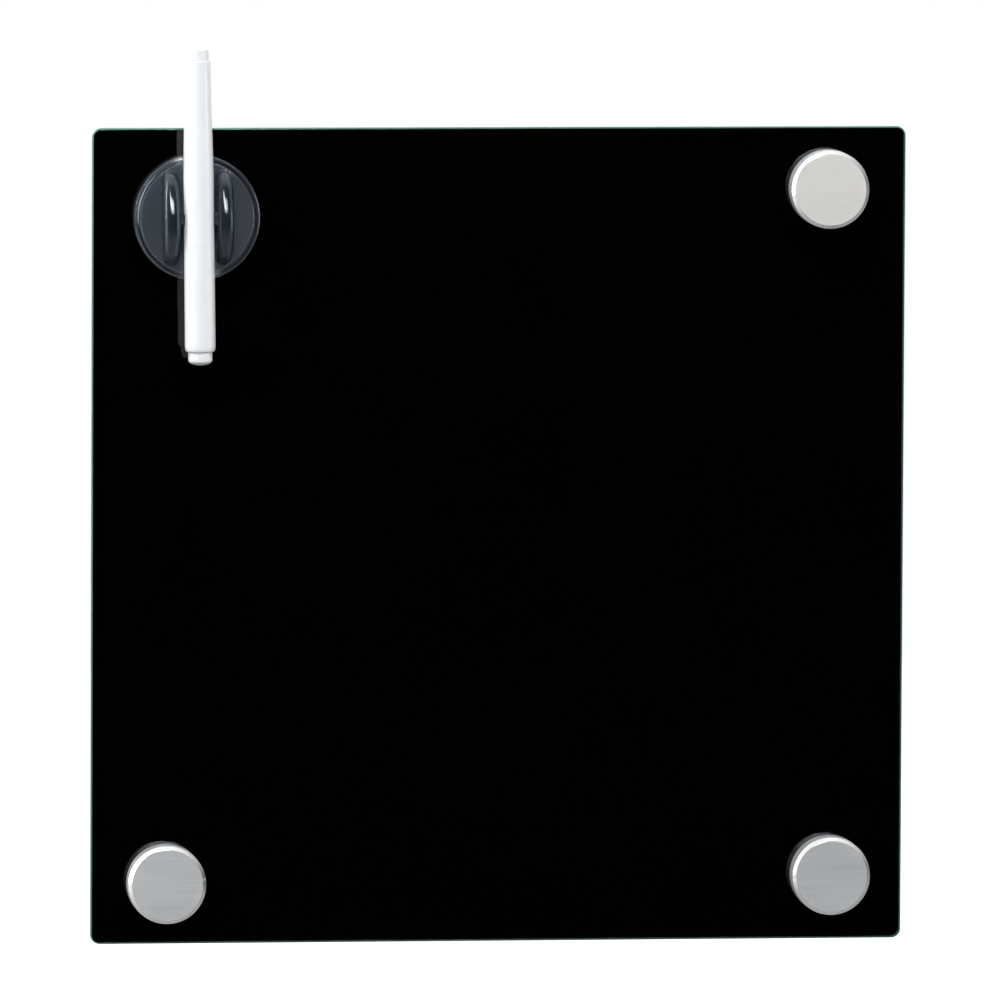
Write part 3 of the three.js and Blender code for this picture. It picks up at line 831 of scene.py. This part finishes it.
shell, core, disc, pad = (f"magnet_{part}_{corners[0]}" for part in ("shell", "core", "disc", "pad"))
for corner, node, piece in atCorners(magnetShell(shell), "shell"):
    shellFinish(piece, corner, node)
inMagnets(magnetCore(core, disc), "core", "black_plastic", "blackMoulding")
inMagnets(flatDisc("disc", disc, magnet["discEdge"]), "disc", "nickel_plate", "nickelPlate")
inMagnets(flatDisc("pad", pad, magnet["padEdge"]), "pad", "soft_pad", "softPad")
print("magnets made")


# Pen holder, in mm over the glass, along its own z

holder = {
    "dishRadius": 27.0, "height": 9.0, "face": 1.8, "rimWidth": 2.2, "rimRise": 0.8, "rimRound": 1.2,
    "backGap": 0.35, "softEdge": 0.25, "rimInside": 0.5, "pocketEdge": 0.5, "sides": 144,
    "jawWidth": 7.2, "jawLength": 41.0, "jawRise": 12.4, "jawRound": 3.0, "jawWall": 1.3,
    "coreRound": 1.7, "coreCut": 1.0, "jawSides": 192, "jawSteps": 10,
    "clipHeight": 4.7, "clipFloor": 1.1, "clipWall": 1.1, "clipReach": 2.7, "clipRound": 0.35,
    "grooveRadius": 6.75, "grooveSides": 96,
    "paintedShadeBeside": 0.1, "paintedShadeOver": 0.4, "paintedShadeWithin": 4.0,  # where the jaws' painted shade begins: there the faces take the darker copy of the same plastic
    "magnetEdge": 0.3, "baseEdge": 0.2, "padEdge": 0.12, "discSides": 128,
}
faceLevel = holder["height"] - holder["rimRise"]
faceUnder = faceLevel - holder["face"]
rootLevel = faceUnder + holder["face"] / 2  # jaws and clip start inside the face
penLevel = faceLevel + holder["clipFloor"] + holder["grooveRadius"]
jawInner = holder["grooveRadius"] + holder["clipWall"]
jawMiddle = jawInner + holder["jawWidth"] / 2
archRadius = ((holder["jawLength"] / 2) ** 2 + holder["jawRise"] ** 2) / (2 * holder["jawRise"])
archMiddle = faceLevel + holder["jawRise"] - archRadius


def dish():
    radius, height, soft = holder["dishRadius"], holder["height"], holder["softEdge"]
    pocket = radius - holder["rimWidth"]
    back, rimRound, rise = holder["backGap"], holder["rimRound"], holder["rimRise"]
    edge, inside = holder["pocketEdge"], holder["rimInside"]
    rings = [(pocket - edge, faceUnder), (pocket, faceUnder - edge), (pocket, back + soft)]
    rings += arc(pocket + soft, back + soft, soft, 180, 270, 3)[1:]
    rings += arc(radius - soft, back + soft, soft, 270, 360, 3)
    rings += arc(radius - rimRound, height - rimRound, rimRound, 0, 90, 8)
    rings += arc(pocket + inside, height - inside, inside, 90, 150, 6)
    rings += arc(pocket - rise, faceLevel + rise, rise, 300, 270, 4)
    return turnedSolid("holderBody", rings, holder["sides"])


def arch(name, radius, width, levelOff, edgeRound):  # a disc on edge, cut off level
    place = (-jawMiddle * mm, 0, archMiddle * mm)
    piece = rodOf(name, radius, width, place, (0, outwards, 0), holder["jawSides"])
    bevelled(piece, edgeRound, holder["jawSteps"], lambda start, end: same(start.x, end.x))
    pickAll()
    bpy.ops.mesh.bisect(plane_co=(0, 0, levelOff * mm), plane_no=(0, 0, 1), clear_inner=True, use_fill=True)
    inMode('OBJECT')
    return piece


def bothSides(piece):
    return piece, copied(piece, (2 * jawMiddle * mm, 0, 0))


def jaws():
    return bothSides(arch("jaw", archRadius, holder["jawWidth"], rootLevel, holder["jawRound"]))


def jawCores():
    wall = holder["jawWall"]
    width = holder["jawWidth"] - 2 * wall
    levelOff = faceUnder - holder["coreCut"]
    return bothSides(arch("jawCore", archRadius - wall, width, levelOff, holder["coreRound"]))


def clipBlock():
    top = penLevel + holder["clipReach"]
    size = (2 * (jawInner + holder["jawWall"] / 2), holder["clipHeight"], top - rootLevel)
    block = boxOf("clipBlock", [length * mm for length in size], (0, 0, (top + rootLevel) / 2 * mm))
    return rounded(block, holder["clipRound"], segments=3, angle=40)


def penGroove():
    return rodOf("penGroove", holder["grooveRadius"], holder["jawLength"], (0, 0, penLevel * mm),
                 (outwards, 0, 0), holder["grooveSides"])


def holderBody():
    piece = dish()
    for jaw in jaws():
        combined(piece, jaw, 'UNION')
    combined(piece, clipBlock(), 'UNION')
    for core in jawCores():
        combined(piece, core, 'DIFFERENCE')
    combined(piece, penGroove(), 'DIFFERENCE')
    beside = (jawInner + holder["paintedShadeBeside"]) * mm
    over = (faceLevel + holder["paintedShadeOver"]) * mm
    within = (archRadius + holder["paintedShadeWithin"]) * mm
    onJaws = [face.index for face in piece.data.polygons if abs(face.center.x) > beside
              and face.center.z > over and face.center.length < within]
    centre = middle("holder_magnet")
    settled(piece, (centre.x, glassFront, centre.z), (outwards, lean, 0))
    finished(piece, "pen_holder", "clear_plastic", ["clearMoulding", "paintedShadeJawMoulding"], "holder_body")
    # the jaw faces take the darker copy of the plastic, which carries painted shade
    for index in onJaws:
        piece.data.polygons[index].material_index = 1
    return smoothed(piece, angle=28)


holderBody()
for name, node, slot, look, edge in (
        ("holderMagnet", "holder_magnet", "ferrite", "sinteredFerrite", "magnetEdge"),
        ("holderBase", "holder_base", "black_plastic", "blackMoulding", "baseEdge"),
        ("holderPad", "holder_pad", "soft_pad", "softPad", "padEdge")):
    finished(flatDisc(name, node, holder[edge], holder["discSides"]), "pen_holder", slot, [look], node)
print("pen holder made")


# Marker, in mm along its own z, from its lower end

marker = {
    "length": 135.2, "gap": 0.1,
    "capLength": 51.0, "capRadius": 6.6, "capMouth": 6.5, "capWall": 1.1, "capEnd": 3.0, "floorRound": 0.6,
    "knobRadius": 5.2, "knobLength": 6.0, "knobCrown": 2.3, "knobFillet": 0.2, "shoulder": 2.6,
    "footRadius": 6.5, "topRadius": 5.6, "bore": 4.4, "barrelEdge": 0.6,
    "spigot": 8.0, "spigotFit": 0.2, "spigotEdge": 0.25,
    "taper": ((6.45, 80.0), (6.36, 87.0), (6.24, 94.0), (6.1, 100.0), (5.96, 108.0), (5.81, 117.0)),
    "collarRadius": 4.9, "collarLength": 4.8, "collarRound": 0.6, "collarRim": 1.2,
    "dip": 0.25, "dipSlope": 0.3,
    "plug": 4.0, "boreFit": 0.2, "chamfer": 0.3,
    "section": 10.0, "sectionTip": 3.2, "flutes": 5, "fluteHalf": 0.3, "fluteDepth": 0.12,
    "nib": 2.0, "nibReach": 6.0, "nibRound": 1.2, "nibFit": 0.15,
    "softEdge": 0.15, "seamEdge": 0.04, "seamGap": 0.03,
}
barrelStart = marker["capLength"] + marker["gap"]
barrelEnd = marker["length"] - marker["collarLength"] - marker["gap"]
spigotEnd = barrelStart - marker["spigot"]
sectionEnd = spigotEnd - marker["section"]
nibEnd = sectionEnd - marker["nibReach"]
plugRadius = marker["bore"] - marker["boreFit"]
reservoirEnd = barrelEnd - marker["plug"] - marker["gap"]
onAxis = middle("holder_magnet")
onAxis.y = middle("pen_barrel").y
penFoot = onAxis + penAxis * ((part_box("pen_cap")[0].z - onAxis.z) / penAxis.z)
chamfer = marker["chamfer"]


def onMarker(name, rings, body, slot, look, node, **shape):
    piece = settled(turnedSolid(name, rings, **shape), penFoot, (0, lean, 0))
    return finished(piece, body, slot, [look], node)


def penCap():
    soft, fillet, corner = marker["softEdge"], marker["knobFillet"], marker["floorRound"]
    knob, knobLength, crown = marker["knobRadius"], marker["knobLength"], marker["knobCrown"]
    radius, mouth, shoulder = marker["capRadius"], marker["capMouth"], marker["shoulder"]
    step = (radius - knob) / 2
    inner = mouth - marker["capWall"]
    floor = knobLength + marker["capEnd"] + corner
    top = marker["capLength"]
    rings = ellipse(0, crown, knob, crown, 270, 360, 12)
    rings += [(knob, knobLength - fillet), (knob + fillet, knobLength)]
    rings += ellipse(radius - step, knobLength + shoulder, step, shoulder, 270, 360)
    seam = marker["seamEdge"]  # the two halves meet almost without a line
    rings += arc(mouth - seam, top - seam, seam, 0, 90, 3)
    rings += arc(inner + soft, top - soft, soft, 90, 180, 3)
    rings += arc(inner - corner, floor, corner, 360, 270, 3)
    return onMarker("penCap", rings, "cap", "white_plastic", "glossyWhite", "pen_cap", sides=112)


def penBarrel():
    seam, edge, spigotEdge = marker["seamEdge"], marker["barrelEdge"], marker["spigotEdge"]
    foot, top, bore = marker["footRadius"], marker["topRadius"], marker["bore"]
    spigot = marker["capMouth"] - marker["capWall"] - marker["spigotFit"]
    rings = [(bore, spigotEnd), (spigot - spigotEdge, spigotEnd), (spigot, spigotEnd + spigotEdge)]
    shoulder = marker["capLength"] + marker["seamGap"]
    rings += [(spigot, shoulder)] + arc(foot - seam, shoulder + seam, seam, 270, 360, 3)
    rings += list(marker["taper"]) + arc(top - edge, barrelEnd - edge, edge, 0, 90)
    rings += [(bore, barrelEnd), (bore, spigotEnd)]
    return onMarker("penBarrel", rings, "pen", "white_plastic", "glossyWhite", "pen_barrel",
                    sides=112, bored=True)


def endPlug():
    collar, length, edge = marker["collarRadius"], marker["length"], marker["collarRound"]
    soft = marker["softEdge"]
    seat = barrelEnd + marker["gap"]
    plugEnd = reservoirEnd + marker["gap"]
    rings = [(plugRadius - chamfer, plugEnd), (plugRadius, plugEnd + chamfer), (plugRadius, seat)]
    rings += arc(collar - soft, seat + soft, soft, 270, 360, 3)
    rings += arc(collar - edge, length - edge, edge, 0, 90, 6)
    dip = collar - edge - marker["collarRim"]
    rings += [(dip, length), (dip - marker["dipSlope"], length - marker["dip"])]
    return onMarker("penEndPlug", rings, "pen", "white_plastic", "glossyWhite", "pen_end_plug")


def penReservoir():
    start = barrelStart + marker["gap"]
    rings = [(plugRadius - chamfer, start), (plugRadius, start + chamfer),
             (plugRadius, reservoirEnd - chamfer), (plugRadius - chamfer, reservoirEnd)]
    return onMarker("penReservoir", rings, "pen", "ink_fibre", "bondedFibre", "pen_reservoir", sides=64)


def nibSection():
    bore, tip = marker["nib"] + marker["nibFit"], marker["sectionTip"]
    shoulder = spigotEnd - marker["gap"]
    half, depth = marker["fluteHalf"], marker["fluteDepth"]
    rings = [(bore, sectionEnd), (tip - chamfer, sectionEnd), (tip, sectionEnd + chamfer)]
    for flute in range(marker["flutes"]):  # shallow rings that grip the cap's inner seal
        share = (flute + 1) / (marker["flutes"] + 1)
        radius = tip + (marker["bore"] - tip) * share
        height = sectionEnd + (shoulder - sectionEnd) * share
        rings += [(radius, height - half), (radius - depth, height), (radius, height + half)]
    rings += [(marker["bore"], shoulder), (plugRadius, shoulder), (plugRadius, barrelStart),
              (bore, barrelStart), (bore, sectionEnd)]
    return onMarker("penNibSection", rings, "pen", "white_plastic", "glossyWhite", "pen_nib_section",
                    sides=72, bored=True)


def penNib():
    radius, edge = marker["nib"], marker["nibRound"]
    rings = ellipse(0, nibEnd + edge, radius, edge, 270, 360) + [(radius, barrelStart)]
    return onMarker("penNib", rings, "pen", "inked_felt", "inkedFelt", "pen_nib", sides=48)


penCap()
penBarrel()
endPlug()
penReservoir()
nibSection()
penNib()
print("marker made")


# Camera, from a little to the left and above, as the holder and its reflection show

shot = {
    "azimuth": -6.5, "elevation": 5.0, "distance": 7.0, "roll": 0.265, "sensor": 36.0,
    "imageSize": 1000.0, "boardPixels": 811.6, "boardCentre": (498.4, 535.0), "clip": (0.1, 60.0),
}


def photoCamera():
    azimuth, elevation = math.radians(shot["azimuth"]), math.radians(shot["elevation"])
    back = Vector((math.sin(azimuth) * math.cos(elevation), -math.cos(azimuth) * math.cos(elevation),
                   math.sin(elevation)))
    right = Vector((math.cos(azimuth), math.sin(azimuth), 0))
    up = back.cross(right)
    roll = Matrix.Rotation(math.radians(shot["roll"]), 3, back)
    right, up = roll @ right, roll @ up
    width = (glassHigh.x - glassLow.x) * math.cos(azimuth)
    pixel = width / shot["boardPixels"]
    halfImage = shot["imageSize"] / 2
    target = (glassLow + glassHigh) / 2
    target.y = glassFront
    target += right * (halfImage - shot["boardCentre"][0]) * pixel
    target += up * (shot["boardCentre"][1] - halfImage) * pixel
    lens = bpy.data.cameras.new("photoCamera")
    lens.sensor_width = shot["sensor"]
    lens.lens = shot["sensor"] * shot["distance"] / (shot["imageSize"] * pixel)
    lens.clip_start, lens.clip_end = shot["clip"]
    camera = bpy.data.objects.new("photoCamera", lens)
    scene.collection.objects.link(camera)
    camera.matrix_world = Matrix.Translation(target + back * shot["distance"]) @ Matrix(
        (right, up, back)).transposed().to_4x4()
    scene.camera = camera
    return -back


studio = {
    "floorDrop": 0.275, "floorFront": -1.2, "floorBack": 4.0, "floorHalfWidth": 3.0,
    # the floor's matt shade darkens towards its front edge: a painted falloff of light, seen where the board
    # mirrors the floor
    "floorShadePaintedFalloff": (0.27, 0.02), "shadeBand": (0.35, 1.15),  # the floor's bands are in metres from the part
    "floorGlow": (0.62, 0.98), "glowBand": (0.35, 1.3),
    "leftBand": (0.2, 1.6), "besideBand": (0.05, 0.6),  # where the magnets' bevels mirror the pale floor
    "around": (0.22, 1.30), "aroundBand": (-0.5, 0.7), "tint": (0.97, 0.985, 1.0, 1),
    "brightSide": (-0.62, -0.10, 0.78), "frontShare": 0.08, "frontBand": (0.10, 0.38),
    "darkSpot": (13.0, 7.0), "backLight": 0.7, "backBand": (-0.6, -0.1), "behind": -0.4,
    "lampFade": (0.2, 1.0),  # as a share of the way from a lamp's middle to its edge
}


def paleFloor():
    level = glassLow.z - studio["floorDrop"]
    front, back = studio["floorFront"], studio["floorBack"]
    nothingPicked()
    bpy.ops.mesh.primitive_plane_add(size=1, location=(0, (back + front) / 2, level))
    floor = made("floor", (2 * studio["floorHalfWidth"], back - front, 1))
    material = bpy.data.materials.new("paleFloor")
    material.use_nodes = True
    tree = material.node_tree
    place = added(tree, "TexCoord").outputs["Object"]
    away = measured(tree, 'DISTANCE', place, (0, 0, level))
    ahead = measured(tree, 'DOT_PRODUCT', place, (0, -1, 0))
    left = measured(tree, 'DOT_PRODUCT', place, (-1, 0, 0))
    # painted falloff of light: the matt shade darkens towards the floor's front edge
    shade = ranged(tree, ahead, *studio["floorShadePaintedFalloff"], *studio["shadeBand"])
    matt = added(tree, "BsdfDiffuse", {"Color": shade})
    strength = ranged(tree, away, *studio["floorGlow"], *studio["glowBand"])
    glow = added(tree, "Emission", {"Strength": strength})
    toTheLeft = ranged(tree, left, 0.0, 1.0, *studio["leftBand"])
    besideBoard = ranged(tree, ahead, 1.0, 0.0, *studio["besideBand"])
    path = added(tree, "LightPath").outputs
    mirrored = scaled(tree, path["Is Glossy Ray"], scaled(tree, toTheLeft, besideBoard))
    seen = worked(tree, 'MAXIMUM', path["Is Camera Ray"], mirrored)
    dark = added(tree, "Emission", {"Strength": 0.0})
    lit = added(tree, "MixShader", {0: seen, 1: dark.outputs[0], 2: glow.outputs[0]})
    both = added(tree, "AddShader", {0: matt.outputs[0], 1: lit.outputs[0]})
    tree.links.new(both.outputs[0], tree.nodes["Material Output"].inputs["Surface"])
    floor.data.materials.append(material)


def studioWorld(lookingAlong):
    glassLooksAlong = Vector((lookingAlong.x, -lookingAlong.y, lookingAlong.z))
    world = bpy.data.worlds.new("studio")
    scene.world = world
    world.use_nodes = True
    tree = world.node_tree
    direction = added(tree, "TexCoord").outputs["Generated"]
    bright = measured(tree, 'DOT_PRODUCT', direction, Vector(studio["brightSide"]).normalized())
    ahead = measured(tree, 'DOT_PRODUCT', direction, (0, -1, 0))
    mirrored = measured(tree, 'DOT_PRODUCT', direction, glassLooksAlong)
    sideways = ranged(tree, bright, *studio["around"], *studio["aroundBand"])
    dimmer = ranged(tree, ahead, 1.0, studio["frontShare"], *studio["frontBand"])
    outer, inner = (math.cos(math.radians(angle)) for angle in studio["darkSpot"])
    aside = ranged(tree, mirrored, 1.0, 0.0, outer, inner)
    back = ranged(tree, ahead, studio["backLight"], 0.0, *studio["backBand"])
    gradient = scaled(tree, sideways, dimmer)
    strength = worked(tree, 'ADD', scaled(tree, gradient, aside), back)
    around = tree.nodes["Background"]
    fed(tree, around.inputs["Color"], studio["tint"])
    fed(tree, around.inputs["Strength"], strength)
    white = added(tree, "Background", {"Color": (1, 1, 1, 1), "Strength": 1.0})
    path = added(tree, "LightPath").outputs
    behind = worked(tree, 'LESS_THAN', ahead, studio["behind"])
    through = scaled(tree, path["Is Transmission Ray"], behind)
    seen = worked(tree, 'MAXIMUM', path["Is Camera Ray"], through)
    mixed = added(tree, "MixShader", {0: seen, 1: around.outputs[0], 2: white.outputs[0]})
    tree.links.new(mixed.outputs[0], tree.nodes["World Output"].inputs["Surface"])


def softbox(name, direction, distance, size, watts, colour, shape='RECTANGLE', turn=0):
    lamp = bpy.data.lights.new(name, 'AREA')
    lamp.shape = shape
    lamp.size, lamp.size_y = size
    lamp.energy = watts
    lamp.color = colour
    lamp.use_nodes = True
    tree = lamp.node_tree
    onLamp = added(tree, "NewGeometry").outputs["Parametric"]
    fromMiddle = vectorWorked(tree, 'SUBTRACT', onLamp, (0.5, 0.5, 0))
    outwardShare = measured(tree, 'LENGTH', vectorWorked(tree, 'MULTIPLY', fromMiddle, (2, 2, 0)))
    fade = ranged(tree, outwardShare, 1.0, 0.0, *studio["lampFade"])
    fed(tree, tree.nodes["Emission"].inputs["Strength"], fade)
    box = bpy.data.objects.new(name, lamp)
    scene.collection.objects.link(box)
    towards = Vector(direction).normalized()
    box.location = towards * distance
    facing = towards.to_track_quat('Z', 'Y').to_matrix()
    box.rotation_euler = (facing @ Matrix.Rotation(math.radians(turn), 3, 'Z')).to_euler()


paleFloor()
studioWorld(photoCamera())
softbox("barLeft", direction=(-0.82, -0.10, 0.56), distance=0.9, size=(0.045, 1.9),
        watts=11.0, colour=(1.0, 0.985, 0.97))
softbox("tallStrip", direction=(-0.085, -0.788, 0.610), distance=2.32, size=(0.72, 2.5),
        watts=124.0, colour=(0.97, 0.99, 1.0), shape='ELLIPSE', turn=20)
softbox("fillRight", direction=(0.93, -0.34, 0.06), distance=1.5, size=(0.7, 1.6),
        watts=10.0, colour=(0.94, 0.97, 1.0))
print("camera, floor and light set")
